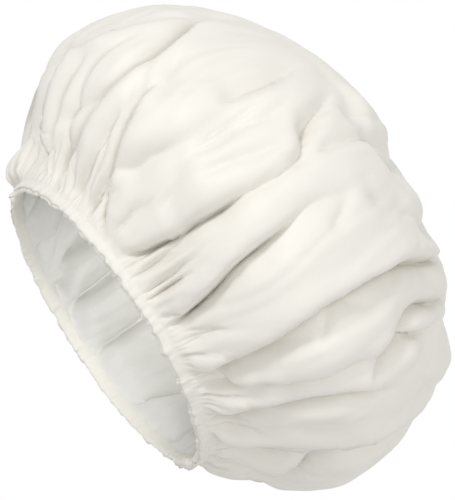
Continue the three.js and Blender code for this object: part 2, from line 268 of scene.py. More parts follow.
def back_creases():
    """Two creases for each fold, one above the other, with small ones and a loose one beside them."""
    creases = []
    for low, waist in BACK_FOLDS:
        top = rng.uniform(*UPPER_END)
        sharp, soft = rng.uniform(*SHARP_SLOPE), rng.uniform(*SOFT_SLOPE)
        slopes = (sharp, soft) if rng.random() < SHARP_FIRST else (soft, sharp)
        line = list(zip((low, low * 0.7 + waist * 0.3, waist), LOWER_HEIGHTS))
        creases.append((rng.uniform(*LOWER_DEPTH), *slopes, line))
        line = list(zip((low * 0.4 + waist * 0.6, waist, waist + stray(6)), (*UPPER_HEIGHTS, top)))
        creases.append((rng.uniform(*UPPER_DEPTH), *slopes, line))
        for _ in range(SMALL_PER_FOLD):
            side = waist + stray(6)
            start = rng.uniform(*SMALL_START)
            line = [(side, start), (side + stray(3), start + SMALL_LENGTH)]
            creases.append((rng.uniform(*SMALL_DEPTH), *SMALL_SLOPES, line))
        loose = waist + rng.uniform(*LOOSE_ASIDE)
        start, length = rng.uniform(*LOOSE_START), rng.uniform(*LOOSE_LENGTH)
        line = [(loose, start), (loose + stray(5), start + length / 2), (loose + stray(9), start + length)]
        depth = rng.uniform(*LOOSE_DEPTH)
        creases.append((depth, rng.uniform(*LOOSE_BEFORE), rng.uniform(*LOOSE_AFTER), line))
    return creases


# Soft folds that run over the edge of the crown towards its middle, as degrees round the cap.
CROWN_FOLDS = [12, 41, 68, 103, 131, 160, 187, 216, 251, 283, 312, 339]
CROWN_START, CROWN_BEND, CROWN_END = (178, 205), 252, (240, 262)  # lengths up the cloth
CROWN_DEPTH, CROWN_SLOPE, CROWN_STRAY = (2.5, 4.5), (4, 8), 12


def crown_creases():
    """One crease for each fold of the crown."""
    creases = []
    for turn in CROWN_FOLDS:
        start = rng.uniform(*CROWN_START)
        bend, end = turn + stray(CROWN_STRAY), turn + stray(CROWN_STRAY)
        line = [(turn, start), (bend, (start + CROWN_BEND) / 2), (end, rng.uniform(*CROWN_END))]
        depth = rng.uniform(*CROWN_DEPTH)
        creases.append((depth, rng.uniform(*CROWN_SLOPE), rng.uniform(*CROWN_SLOPE), line))
    return creases


def crease_line(line, up):
    """The turn of a crease at each height, on a smooth curve through its points, and its slope there."""
    turns, ups = np.array(line, float).T
    slopes = np.gradient(turns, ups)
    index = np.clip(np.searchsorted(ups, up) - 1, 0, len(ups) - 2)
    gap = ups[index + 1] - ups[index]
    t = np.clip((up - ups[index]) / gap, 0, 1)
    ends = turns[index] * (1 + 2 * t) * (1 - t) ** 2 + turns[index + 1] * t * t * (3 - 2 * t)
    bend = gap * t * (1 - t) * (slopes[index] * (1 - t) - slopes[index + 1] * t)
    return ends + bend, slopes[index] * (1 - t) + slopes[index + 1] * t


# A crease grows and fades over a share of its length, up to a limit, and runs out a little past its ends.
RISE_SHARE, RISE_MOST, RUN_IN = 0.3, 12, 4
FALL_SHARE, FALL_MOST, RUN_OUT = 0.45, 45, 6
CROWN_EDGE, CROWN_RUN_OUT = 185, 32  # one that ends above this edge runs out further


def crease_offset(line, turn, up, radius):
    """Distance of each point from a crease, square to it, and how strongly the crease is there."""
    middle, slope = crease_line(line, up)
    around = np.radians(turn_from(turn, middle)) * radius
    offset = around / np.sqrt(1 + (np.radians(slope) * radius) ** 2)
    low, high = line[0][1], line[-1][1]
    length = high - low
    run_out = CROWN_RUN_OUT if high > CROWN_EDGE else RUN_OUT
    rise = ease(up, low - RUN_IN, low + min(RISE_SHARE * length, RISE_MOST))
    fall = 1 - ease(up, high - min(FALL_SHARE * length, FALL_MOST), high + run_out)
    return offset, rise * fall


FOLD_REACH = 2.4  # how far a slope reaches, in widths
MOST_INWARD = 26  # depth that folds on one another come near and don't pass
DEEP, NARROW = 8, 6  # a crease deeper and narrower than this has a crevice at its bottom
CREVICE, CREVICE_WIDTH = 0.65, 1.5
UNEVEN, UNEVEN_DEPTH = 1.5, 4  # a crease with slopes further apart, and deeper, leans over itself
OVERHANG, LIP_LIFT = 0.32, 0.2  # how far its lip hangs over and rises, as shares of its depth
HANG_FROM, HANG_TO = 70, 120  # lengths up the cloth between which the overhang fades


def fold_cloth(profile, turn, up, creases):
    """How far the cloth is folded inward and pushed sideways at each point."""
    radius = profile.at(up)[0]
    inward, sideways, lift = np.zeros((3, len(turn)))
    for depth, before, after, line in creases:
        offset, strength = crease_offset(line, turn, up, radius)
        width = np.where(offset < 0, before, after)
        share = np.minimum(np.abs(offset) / (FOLD_REACH * width), 1)
        roll = (1 - share) ** 2 if depth > 0 else np.exp(-0.8 * (offset / width) ** 2)
        inward += depth * strength * roll
        steep = min(before, after)
        if depth > DEEP and steep < NARROW:
            inward += CREVICE * depth * strength * bell(offset, CREVICE_WIDTH)
        if abs(before - after) > UNEVEN and depth > UNEVEN_DEPTH:
            lean = 1 if before < after else -1
            lip = -lean * (1.3 * steep + 1)
            tight = 1 - 0.8 * ease(up, HANG_FROM, HANG_TO)
            sideways += lean * OVERHANG * depth * strength * tight * bell(offset - lip, 1.2 * steep + 1.6)
            lift += LIP_LIFT * depth * strength * bell(offset - 1.8 * lip, steep + 4.5)
    return MOST_INWARD * np.tanh(inward / MOST_INWARD) - lift, sideways


# Small gathers where the elastic draws the cloth in: a valley every few millimetres round the hem, with
# some wide flat stretches between them. A level takes one in so many of them, draws them in this far, and
# has the lengths up the cloth between which they fade.
GATHERS = 200
GATHER_GAP, WIDE_GAP, WIDE_SHARE = (0.5, 1.4), (2, 3.2), 0.1
GATHER_DEPTH, GATHER_REACH = (0.3, 1.25), (0.5, 1.4)
GATHER_LEAN = 0.05  # most degrees by which a gather leans to a millimetre up the cloth
GATHER_LEVELS = [(1, 1.2, 9, 18), (2, 2.3, 11, 34), (4, 2.8, 18, 58), (8, 2.2, 34, 92)]
gather_gaps = rng.uniform(*GATHER_GAP, GATHERS)
wide = rng.random(GATHERS) < WIDE_SHARE
gather_gaps *= np.where(wide, rng.uniform(*WIDE_GAP, GATHERS), 1)
gather_edges = np.r_[0, np.cumsum(gather_gaps)] / gather_gaps.sum() * 360
gather_depth = rng.uniform(*GATHER_DEPTH, GATHERS + 1) ** 1.5
gather_reach = rng.uniform(*GATHER_REACH, GATHERS + 1)
gather_depth[-1], gather_reach[-1] = gather_depth[0], gather_reach[0]


def gather(turn, every=1):
    """The puff of cloth between two gathers at each turn, and the depth and reach of the gathers there."""
    edges = gather_edges[::every]
    spot = np.mod(turn, 360)
    index = np.clip(np.searchsorted(edges, spot, side="right") - 1, 0, len(edges) - 2)
    share = (spot - edges[index]) / (edges[index + 1] - edges[index])
    blend = ease(share, 0, 1)
    ends = (gather_depth[::every], gather_reach[::every])
    depth, reach = (end[index] * (1 - blend) + end[index + 1] * blend for end in ends)
    return np.sin(np.pi * share), depth, reach


RIPPLE_ROWS = 64


def ripple(turn, up, cells, length, seed):
    """Smooth noise from -1 to 1, closed round the cap: cells of it round the ring, each of a length up."""
    lattice = np.random.default_rng(seed).uniform(-1, 1, (cells, RIPPLE_ROWS))
    across, along = np.mod(turn, 360) / 360 * cells, up / length
    i, j = np.floor(across).astype(int), np.floor(along).astype(int)
    s, t = ease(across - i, 0, 1), ease(along - j, 0, 1)
    left, right = i % cells, (i + 1) % cells
    rows = (j % RIPPLE_ROWS, (j + 1) % RIPPLE_ROWS)
    low, high = (lattice[left, row] * (1 - s) + lattice[right, row] * s for row in rows)
    return low * (1 - t) + high * t


def ring_ripple(turn, cells, seed):
    """The same noise round the ring alone."""
    return ripple(turn, np.zeros_like(turn), cells, 1, seed)


def hem_gathers(turn, up):
    """How far the gathers draw the cloth inward: many at the hem, and fewer and softer ones above it."""
    inward = np.zeros_like(turn)
    lean = GATHER_LEAN * ring_ripple(turn, 18, 51) * (up - TUCK)
    for every, draw, low, high in GATHER_LEVELS:
        puff, depth, reach = gather(turn + lean, every)
        held = ease(up, TUCK, low) * (1 - ease(up, low, high * reach + low))
        inward += draw * depth * held * (1 - puff ** 0.7)
    return inward


# Puckers of the hem: small uneven ridges across it, which the elastic draws in. The rough stretches have a
# middle turn, a width and how much further their ridges stand out.
PUCKER = 0.35
ROUGH_STRETCHES = [(10, 12, 1.1), (176, 12, 0.7), (270, 70, 0.25)]


def hump(turn, middle, width):
    """A soft rise round one turn of the ring."""
    return bell(turn_from(turn, middle), width)


def pucker(turn):
    """How far the cloth of the hem stands out at each turn."""
    pinch, depth, _ = gather(turn)
    noise = 0.7 * ring_ripple(turn, 230, 43) + 0.5 * ring_ripple(turn, 110, 44)
    rough = PUCKER + sum(more * hump(turn, middle, width) for middle, width, more in ROUGH_STRETCHES)
    return rough * (noise + 1.1 * depth ** 1.5 * (pinch ** 0.3 - 0.8))


# Drag lines: slight wrinkles that run with the pull of the cloth, from the hem up over the belly. Each set
# has its number round the cap, the length and the depth of its lines, and a seed.
DRAG_LINES = [(54, 150, 2.2, 11), (110, 100, 1.2, 12), (200, 64, 0.55, 13)]
DRAG_PUFF = 1.6  # how far the cloth stands out between the lines
DRAG_RISE, DRAG_FADE, DRAG_LOSS = (8, 24), (120, 220), 0.85  # lengths up, and the share lost by fading
SWELL, RUMPLE = 1.2, 2  # height of the slow swells, and of the rumples on the edge of the crown
RUMPLE_RISE, RUMPLE_FADE = (180, 225), (262, 284)


def drag_lines(turn, up):
    """How far the drag lines and the slow swells of the cloth bring it inward."""
    fade = ease(up, *DRAG_RISE) * (1 - DRAG_LOSS * ease(up, *DRAG_FADE))
    inward = np.full_like(turn, -DRAG_PUFF)
    for cells, length, depth, seed in DRAG_LINES:
        wander = 3 * ripple(turn, up, 24, 60, seed + 20)
        inward += depth * (1 - np.abs(ripple(turn + wander, up, cells, length, seed))) ** 2
    aside = turn + 14 * ripple(turn, up, 20, 44, 16)
    climb = up + 26 * ripple(turn, up, 26, 38, 17)
    swell = SWELL * ripple(aside, climb, 18, 70, 14)
    rumple = RUMPLE * ripple(aside, climb, 9, 34, 15) * ease(up, *RUMPLE_RISE)
    rumple = rumple * (1 - ease(up, *RUMPLE_FADE))
    return fade * (inward + swell) + rumple


SEEN_FROM, SEEN_TO = 180, 352  # degrees between which the view shows the outside
SEEN_MORE = 0.9  # how many more columns there are to a degree there, as a share
DRAWN_DEPTH, DRAWN_WIDTH, DRAWN = 2, 8, 0.55  # creases deeper than this draw the columns near them closer
DRAWN_PAST, DRAWN_WITHIN = 40, 10  # lengths past and within a crease's ends over which this grows


def crowded_turns(count, up):
    """Turns of the columns of a row of the shell: most on the side that is seen, and closer at creases."""
    fine = np.linspace(0, 360, 721)
    seen = ease(fine, SEEN_FROM - 20, SEEN_FROM) * (1 - ease(fine, SEEN_TO, 360))
    total = np.r_[0, np.cumsum(1 + SEEN_MORE * seen[:-1])]
    turns = np.interp(np.arange(count) / count * total[-1], total, fine)
    heights = np.full(count, up)
    radius = shell_profile.at(heights)[0]
    for depth, _, _, line in creases:
        if depth > DRAWN_DEPTH:
            offset, _ = crease_offset(line, turns, heights, radius)
            low, high = line[0][1], line[-1][1]
            near = ease(up, low - DRAWN_PAST, low + DRAWN_WITHIN)
            near = near * (1 - ease(up, high - DRAWN_WITHIN, high + DRAWN_PAST))
            turns = turns - np.degrees(DRAWN * near * offset * bell(offset, DRAWN_WIDTH) / radius)
    return turns


FINE_UNTIL, COARSE_FROM = 14, 70  # lengths up the cloth between which the rows move apart
MOST_FAN = 4  # the fan of faces that closes the crown reaches this far at most


def dome_rows(start, end, first, most):
    """Lengths up the cloth of the rows of a dome, closer at the hem."""
    rows = [start]
    while rows[-1] < end - MOST_FAN:
        rows.append(rows[-1] + first + (most - first) * float(ease(rows[-1], FINE_UNTIL, COARSE_FROM)))
    return np.array(rows)


def dome_grid(profile, low, gaps, columns, halvings, row_turns):
    """Turns and lengths up of a dome's points, and its columns in each row, halved at some lengths up."""
    rows = dome_rows(low, profile.end, *gaps)
    counts = columns // 2 ** np.searchsorted(halvings, rows, side="right")
    turn = np.concatenate([row_turns(c, u) for c, u in zip(counts, rows)] + [[0.0]])
    up = np.concatenate([np.full(c, u) for c, u in zip(counts, rows)] + [[profile.end]])
    return turn, up, counts


def dome_faces(counts):
    """Faces of a dome whose rows halve their columns on the way up, closed by a fan at the top."""
    start = np.r_[0, np.cumsum(counts)]
    faces = []
    for row, (count, above) in enumerate(zip(counts[:-1], counts[1:])):
        low, high = start[row], start[row + 1]
        for j in range(above):
            k = (j + 1) % above
            if count == above:
                faces.append((low + j, low + k, high + k, high + j))
            else:
                left, middle, right = low + 2 * j, low + 2 * j + 1, low + (2 * j + 2) % count
                faces += [(left, middle, high + j), (middle, high + k, high + j), (middle, right, high + k)]
    last, count = start[-2], counts[-1]
    faces += [(last + j, last + (j + 1) % count, start[-1]) for j in range(count)]
    return [tuple(int(v) for v in face) for face in faces]


def blank_of(turn, up, end):
    """Places on the flat round blank, in metres from its middle."""
    angle = np.radians(turn)
    return ((end - up) * MM)[:, None] * np.stack([np.cos(angle), np.sin(angle)], -1)


def cloth_object(name, points, faces, material, thickness, blank):
    """A sheet of cloth with its two faces, and a UV map that is the blank it was cut from."""
    mesh = bpy.data.meshes.new(name)
    mesh.from_pydata(points.tolist(), [], faces)
    mesh.polygons.foreach_set("use_smooth", np.ones(len(mesh.polygons), bool))
    corners = np.empty(len(mesh.loops), int)
    mesh.loops.foreach_get("vertex_index", corners)
    mesh.uv_layers.new(name="blank").data.foreach_set("uv", blank[corners].ravel())
    mesh.materials.append(material)
    piece = new_object(name, mesh)
    wall = piece.modifiers.new("thickness", "SOLIDIFY")
    wall.thickness = thickness
    wall.offset = -1
    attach(piece, "root")
    return piece


def node(tree, kind, values=(), **settings):
    """A node with its settings, and with constants or links on its inputs."""
    made = tree.nodes.new(kind)
    for name, value in settings.items():
        setattr(made, name, value)
    for name, value in dict(values).items():
        if isinstance(value, bpy.types.NodeSocket):
            tree.links.new(value, made.inputs[name])
        else:
            made.inputs[name].default_value = value
    return made


def math_node(tree, operation, *values):
    """The result of a sum on constants or links."""
    return node(tree, "ShaderNodeMath", dict(enumerate(values)), operation=operation).outputs[0]


def colour_mix(tree, share, first, second):
    """A colour that goes from the first to the second with a linked share."""
    values = {0: share, 6: (*first, 1), 7: (*second, 1)}
    return node(tree, "ShaderNodeMix", values, data_type="RGBA").outputs[2]


def node_group(name, kind, inputs, outputs):
    """An empty node group with sockets of these kinds, and the sockets inside it."""
    group = bpy.data.node_groups.new(name, kind)
    for way, sockets in (("INPUT", inputs), ("OUTPUT", outputs)):
        for label, socket in sockets.items():
            group.interface.new_socket(label, in_out=way, socket_type=socket)
    return group, node(group, "NodeGroupInput").outputs, node(group, "NodeGroupOutput").inputs


def weave_group():
    """Plain weave: warp and weft threads that go over each other by turns."""
    inputs = {"Vector": "NodeSocketVector", "Pitch": "NodeSocketFloat"}
    group, given, made = node_group("weave", "ShaderNodeTree", inputs, {"Height": "NodeSocketFloat"})
    place = node(group, "ShaderNodeSeparateXYZ", {0: given["Vector"]})
    turns = math_node(group, "DIVIDE", math.pi, given["Pitch"])
    warp = math_node(group, "SINE", math_node(group, "MULTIPLY", place.outputs["X"], turns))
    weft = math_node(group, "SINE", math_node(group, "MULTIPLY", place.outputs["Y"], turns))
    over = math_node(group, "GREATER_THAN", math_node(group, "MULTIPLY", warp, weft), 0.0)
    sides = [math_node(group, "ABSOLUTE", thread) for thread in (weft, warp)]
    height = node(group, "ShaderNodeMix", {0: over, 2: sides[0], 3: sides[1]})
    group.links.new(height.outputs[0], made["Height"])
    return group


def rumple_group():
    """Fine wrinkles that run from the middle of the blank out to its edge, and slow drifts of tone."""
    outputs = {"Height": "NodeSocketFloat", "Tone": "NodeSocketFloat"}
    group, given, made = node_group("rumple", "ShaderNodeTree", {"Vector": "NodeSocketVector"}, outputs)
    reach = node(group, "ShaderNodeVectorMath", {0: given["Vector"]}, operation="LENGTH").outputs["Value"]
    aim = node(group, "ShaderNodeVectorMath", {0: given["Vector"]}, operation="NORMALIZE").outputs[0]
    lift = node(group, "ShaderNodeCombineXYZ", {"Z": math_node(group, "MULTIPLY", reach, 1.1)}).outputs[0]
    place = node(group, "ShaderNodeVectorMath", {0: aim, 1: lift}, operation="ADD").outputs[0]
    wrinkles = {"Vector": place, "Scale": 26.0, "Detail": 3.0, "Distortion": 0.6}
    drifts = {"Vector": given["Vector"], "Scale": 24.0, "Detail": 4.0}
    group.links.new(node(group, "ShaderNodeTexNoise", wrinkles).outputs["Fac"], made["Height"])
    group.links.new(node(group, "ShaderNodeTexNoise", drifts).outputs["Fac"], made["Tone"])
    return group


def new_material(name):
    """A material with nodes, and its node tree."""
    material = bpy.data.materials.new(name)
    material.use_nodes = True
    return material, material.node_tree


def surface(tree, colour, relief, roughness):
    """Link the colour and the relief of a material to its surface, and set how rough that is."""
    inputs = tree.nodes["Principled BSDF"].inputs
    tree.links.new(colour, inputs["Base Color"])
    tree.links.new(relief, inputs["Normal"])
    inputs["Roughness"].default_value = roughness
    return inputs


weave = weave_group()
rumple = rumple_group()


def cloth_material(name, colour, shade, roughness, sheen, pitch, wrinkle):
    """A woven cloth: its tone drifts a little, fine wrinkles cross it and its threads show close up."""
    material, tree = new_material(name)
    place = node(tree, "ShaderNodeUVMap", uv_map="blank").outputs[0]
    threads = node(tree, "ShaderNodeGroup", {"Vector": place, "Pitch": pitch}, node_tree=weave).outputs
    folds = node(tree, "ShaderNodeGroup", {"Vector": place}, node_tree=rumple).outputs
    wrinkles = {"Height": folds["Height"], "Strength": 1.0, "Distance": wrinkle}
    soft = node(tree, "ShaderNodeBump", wrinkles).outputs[0]
    ribs = {"Height": threads["Height"], "Strength": 0.25, "Distance": pitch / 8, "Normal": soft}
    fine = node(tree, "ShaderNodeBump", ribs).outputs[0]
    inputs = surface(tree, colour_mix(tree, folds["Tone"], colour, shade), fine, roughness)
    inputs["Specular IOR Level"].default_value = 0.35
    inputs["Sheen Weight"].default_value = sheen
    return material


IVORY = (0.815, 0.793, 0.737)
IVORY_SHADE = (0.785, 0.762, 0.702)
shell_cloth = cloth_material("ivory_satin", IVORY, IVORY_SHADE, roughness=0.5, sheen=0.06,
                             pitch=0.5 * MM, wrinkle=0.1 * MM)

SHELL_COLUMNS, SHELL_HALVINGS = 680, [32, 200, 252]  # at the hem, and lengths up at which they halve
SHELL_ROW_GAPS = (1.3, 2.4)
CALM_FROM, CALM_TO = 40, 6  # lengths from the middle of the crown between which the folds fade
EDGE_PUCKER, EDGE_CALM = 1.6, 1.1  # strength of the puckers at the rolled edge, and its loss above it
PUCKER_LEAN = 0.03  # degrees by which a pucker leans to a millimetre up the cloth
PUCKER_END = 18  # length up the cloth at which they end
EDGE_WAVE = 0.6  # how far the rolled edge waves up and down
creases = FRONT_CREASES + back_creases() + crown_creases()
turn, up, counts = dome_grid(shell_profile, shell_profile.start, SHELL_ROW_GAPS, SHELL_COLUMNS,
                             SHELL_HALVINGS, crowded_turns)
free = ease(up, TUCK, FREE)
inward, sideways = fold_cloth(shell_profile, turn, up, creases)
inward *= free * (1 - ease(up, shell_profile.end - CALM_FROM, shell_profile.end - CALM_TO))
inward += hem_gathers(turn, up) + drag_lines(turn, up)
above_edge = ease(up, shell_profile.start, TUCK)
puckers = pucker(turn + PUCKER_LEAN * up) * (EDGE_PUCKER - EDGE_CALM * above_edge)
inward -= puckers * (1 - ease(up, TUCK, PUCKER_END))
shell_points = shell_profile.place(turn, up, inward, sideways * free)
shell_points[:, 2] += EDGE_WAVE * MM * ring_ripple(turn, 150, 45) * (1 - above_edge)
shell_points[-1] = (0, 0, shell_points[-1 - counts[-1]:-1, 2].mean())
shell = cloth_object("outer_shell_cloth", shell_points, dome_faces(counts), shell_cloth, SHELL_THICKNESS,
                     blank_of(turn, up, shell_profile.end))
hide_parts("outer_shell")

# Inner liner. The soft, greyer cloth that lies against the hair, cut round like the shell and caught in
# the same hem. It lies close behind the shell on the near side and hangs slack on the far side.
LINER_BELOW = [(88.7, 6.4), (100, 24), (137.5, 46), (138.5, 75)]
LINER_ABOVE = [(138.5, 75), (138.5, 136), (88, 174), (0, 174)]
SLACK_BELOW = [(88.7, 6.4), (90, 26), (104, 54), (117, 80)]
SLACK_ABOVE = [(117, 80), (130, 106), (88, 174), (0, 174)]
LINER_THICKNESS = 0.8 * MM
LINER_COLUMNS, LINER_ROW_GAPS = 400, (1.8, 3.0)
LAYER_HALVINGS = [205, 250]
LINER_PILLOW, LINER_SWELL = 8, 2.0  # how far its pillows stand in, and the height of its swells
PLY_GAP, FLEECE_ROOM = 1.4, 2.2  # room kept to the shell at the hem, and more where the fleece lies
FLEECE_RISE = (26, 46)  # lengths up the cloth over which that room grows
SLACK_GAP = 1.6  # room kept to the shell where the liner hangs slack
SLACK_FROM, SLACK_TO, SLACK_TOP = (0, 35), (158, 180), (110, 200)  # degrees, and lengths up the cloth
PILLOW_RISE, VALLEY_RISE = 18, 11  # lengths up the cloth at which they are full
LINER_CREASES = [
    (7, 5, 6, [(166, 10), (160, 24), (158, 50)]),
    (8.5, 2.6, 3.4, [(149, 6), (150.5, 6.6), (156.5, 8), (161.8, 11), (166, 18)]),
    (10, 2.6, 4.4, [(139.5, 6), (146, 10.5), (156, 17.5), (162, 30), (165, 60)]),
    (12, 4.4, 2.6, [(124, 6), (127, 7.5), (134, 17), (142, 27), (148, 40), (152, 70)]),
    (7, 3, 5, [(122, 13), (125.8, 17.5), (130.8, 24.5), (134.5, 31), (138, 46)]),
    (12, 4, 8, [(109, 6), (115, 14), (120, 22), (120, 41), (118, 80)]),
    (11, 4, 8, [(98.5, 6), (101, 8), (104, 16), (104, 31.5), (104, 49.5), (103, 90)]),
    (10, 4, 8, [(82, 6.5), (83.5, 10.5), (85, 30), (86, 52.5), (87, 90)]),
    (3, 4, 5, [(73, 10), (72, 30), (70, 60)]),
    (2.5, 4, 4, [(66, 12), (64, 40), (63, 60)]),
    (10, 4, 7, [(59, 8), (57, 15.5), (54, 28), (53, 35.5), (51, 70)]),
    (9, 4, 7, [(36, 8), (34, 9.5), (31, 19), (28, 50)]),
]
liner_profile = Profile(LINER_BELOW, LINER_ABOVE)
slack_profile = Profile(SLACK_BELOW, SLACK_ABOVE)


def soft_most(a, b, blend):
    """The larger of two values, with a round change from one to the other."""
    return (a + b + np.sqrt((a - b) ** 2 + blend ** 2)) / 2


def even_turns(count, up):
    """Turns of the columns of a plain row, whatever its length up."""
    return np.arange(count) * 360 / count


def shell_reach(turn, up):
    """How far in the shell comes at each point or close beside it, so that a layer behind clears it."""
    reach = []
    for beside in (-2, -1, 0, 1, 2):
        near = turn + beside
        inward, _ = fold_cloth(shell_profile, near, up, creases)
        reach.append(inward * ease(up, TUCK, FREE) + hem_gathers(near, up) + drag_lines(near, up))
    return np.max(reach, axis=0)


def liner_points(turn, up):
    """The liner's points, from those of its close and of its slack form."""
    shell_up = up * shell_profile.end / liner_profile.end
    slack_up = up * slack_profile.end / liner_profile.end
    flat = np.zeros_like(turn)
    smooth_shell = shell_profile.place(turn, shell_up, flat)
    close_gap = np.linalg.norm(smooth_shell - liner_profile.place(turn, up, flat), axis=-1) / MM
    slack_gap = np.linalg.norm(smooth_shell - slack_profile.place(turn, slack_up, flat), axis=-1) / MM
    reach = shell_reach(turn, shell_up)
    small = 0.7 * hem_gathers(turn + 1.7, up)
    swell = LINER_SWELL * ripple(turn, up, 20, 42, 31) * ease(up, 14, 40)
    room = close_gap - PLY_GAP - FLEECE_ROOM * ease(up, *FLEECE_RISE)
    close = liner_profile.place(turn, up, soft_most(small + swell, reach - room, 2))
    valleys, _ = fold_cloth(slack_profile, turn, slack_up, LINER_CREASES)
    pillows = LINER_PILLOW * ease(slack_up, TUCK, PILLOW_RISE) - valleys * ease(slack_up, TUCK, VALLEY_RISE)
    pillows = pillows + 0.5 * small + 0.4 * swell
    slack = slack_profile.place(turn, slack_up, soft_most(pillows, reach + SLACK_GAP - slack_gap, 1.5))
    far_side = ease(turn, *SLACK_FROM) * (1 - ease(turn, *SLACK_TO)) * (1 - ease(up, *SLACK_TOP))
    return close + (slack - close) * far_side[:, None]


LINER_GREY = (0.765, 0.758, 0.726)
LINER_SHADE = (0.735, 0.727, 0.692)
liner_cloth = cloth_material("liner_cloth", LINER_GREY, LINER_SHADE, roughness=0.8, sheen=0.1,
                             pitch=0.7 * MM, wrinkle=0.5 * MM)
turn, up, counts = dome_grid(liner_profile, TUCK, LINER_ROW_GAPS, LINER_COLUMNS,
                             LAYER_HALVINGS, even_turns)
inner_points = liner_points(turn, up)
inner_points[-1, :2] = 0
liner = cloth_object("inner_liner_cloth", inner_points, dome_faces(counts), liner_cloth, LINER_THICKNESS,
                     blank_of(turn, up, liner_profile.end))
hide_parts("inner_liner")

# Absorbent wadding. A needled fleece that holds the shampoo, cut smaller than the cloths and laid loose
# between them, which gives the cap its padded feel.
WADDING_START = 48
WADDING_THICKNESS = 1.6 * MM
WADDING_COLUMNS, WADDING_ROW_GAPS = 240, (3.0, 4.0)
WADDING_PLACE = 0.4  # share of the way from the liner to the shell
FLEECE = (0.76, 0.755, 0.735)
FLEECE_SHADE = (0.73, 0.725, 0.70)
fleece = cloth_material("fleece", FLEECE, FLEECE_SHADE, roughness=0.95, sheen=0.2,
                        pitch=1.5 * MM, wrinkle=0.8 * MM)
turn, up, counts = dome_grid(liner_profile, WADDING_START, WADDING_ROW_GAPS, WADDING_COLUMNS,
                             LAYER_HALVINGS, even_turns)
shell_up = up * shell_profile.end / liner_profile.end
under = liner_points(turn, up)
over = shell_profile.place(turn, shell_up, shell_reach(turn, shell_up))
wadding_points = under * (1 - WADDING_PLACE) + over * WADDING_PLACE
wadding_points[-1, :2] = 0
wadding = cloth_object("wadding_fleece", wadding_points, dome_faces(counts), fleece, WADDING_THICKNESS,
                       blank_of(turn, up, liner_profile.end))
wadding.modifiers["thickness"].offset = 0
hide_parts("absorbent_wadding")

# Hem binding. A strip of the shell's cloth folded round the raw edges of the plies and round the elastic,
# which draws it into small uneven puckers and scallops its lower edge.
BINDING_THICKNESS = 0.4 * MM
PUCKER_POINTS = 6  # columns to a gather
BINDING_SECTION = [
    (87.8, 7.6), (88.8, 6.6), (89.6, 5.6), (89.9, 4.8), (89.8, 3.9), (89.5, 2.9), (89.1, 1.9), (88.6, 1.0),
    (88.0, 0.4), (87.3, 0.2), (86.7, 0.7), (86.3, 1.7), (86.3, 3.3), (86.6, 5.2), (87.0, 6.8), (87.5, 8.1),
    (88.6, 9.0),
]
PUCKER_SHARE = [0, 0, 0.1, 0.3, 0.6, 0.8, 1, 1.3, 1.7, 1.9, 1.7, 1.2, 1, 0.8, 0.6, 0.3, 0]
SEAM_OUTER, INNER_FACE, SEAM_INNER = 2, 11, 14  # points of the section
LAP_TURN, LAP_WIDTH, LAP_RISE = 5, 7, 0.6  # where the elastic is lapped, and how far it lifts the strip
DROOP_TURN, DROOP_WIDTH, DROOP = 140, 40, 0.12  # stretch whose inner face is lower, and by what share
PUCKER_SLANT = 1.2  # most degrees by which a pucker leans to either side
RIM_WAVE, RIM_LOWEST = 0.3, -0.7  # how far the hem waves up and down, and its lowest height
WEAVE_RADIUS = 0.125  # metres of the strip's weave to a radian of the hem


def binding_points(turn):
    """The strip's section at each turn, from its outer edge round under the elastic to its inner edge."""
    section = np.array(BINDING_SECTION)
    along = np.gradient(section, axis=0)
    along /= np.linalg.norm(along, axis=1, keepdims=True)
    outward = np.stack([-along[:, 1], along[:, 0]], -1)
    slants = np.linspace(-PUCKER_SLANT, PUCKER_SLANT, len(section))
    slant = turn[:, None] + slants * ring_ripple(turn, 60, 42)[:, None]
    lap = LAP_RISE * hump(turn, LAP_TURN, LAP_WIDTH)[:, None]
    section = np.repeat(section[None], len(turn), axis=0)
    section[:, INNER_FACE:, 1] *= 1 - DROOP * hump(turn, DROOP_TURN, DROOP_WIDTH)[:, None]
    place = section + (np.array(PUCKER_SHARE) * (pucker(slant) + lap))[..., None] * outward[None]
    place[..., 1] = np.maximum(place[..., 1] + RIM_WAVE * ring_ripple(turn, 40, 41)[:, None], RIM_LOWEST)
    angle = np.radians(turn)[:, None]
    return np.stack([place[..., 0] * np.cos(angle), place[..., 0] * np.sin(angle), place[..., 1]], -1) * MM


steps = np.arange(GATHERS * PUCKER_POINTS) / PUCKER_POINTS
binding_turns = np.interp(steps, np.arange(GATHERS + 1), gather_edges)
grid = binding_points(binding_turns)
columns, across = grid.shape[:2]
corner = np.arange(columns * across).reshape(columns, across)
next_corner = np.roll(corner, -1, axis=0)
faces = np.stack([corner[:, :-1], corner[:, 1:], next_corner[:, 1:], next_corner[:, :-1]], -1)
lengths = np.cumsum(np.r_[0, np.hypot(*np.diff(BINDING_SECTION, axis=0).T)]) * MM
around = np.radians(binding_turns)[:, None] * WEAVE_RADIUS
strip = np.stack(np.broadcast_arrays(around, lengths[None]), -1).reshape(-1, 2)
binding = cloth_object("hem_binding_cloth", grid.reshape(-1, 3), faces.reshape(-1, 4).tolist(),
                       shell_cloth, BINDING_THICKNESS, strip)
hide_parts("hem_binding")

# Hem stitches. Two rows of ivory spun thread hold the binding. The needle thread lies on its outer face,
# under the rolled edge of the shell, and the bobbin thread on its inner face, sunk into the puckers.
STITCHES = 180
STITCH_LENGTH = 2.1 * MM
THREAD_RADIUS = 0.18 * MM
# Painted shade: the thread's colour is made darker in the grooves between its plies, where shade would
# fall.
PAINTED_PLY_GROOVE_SHADE = 0.86  # how much darker the thread is between its plies


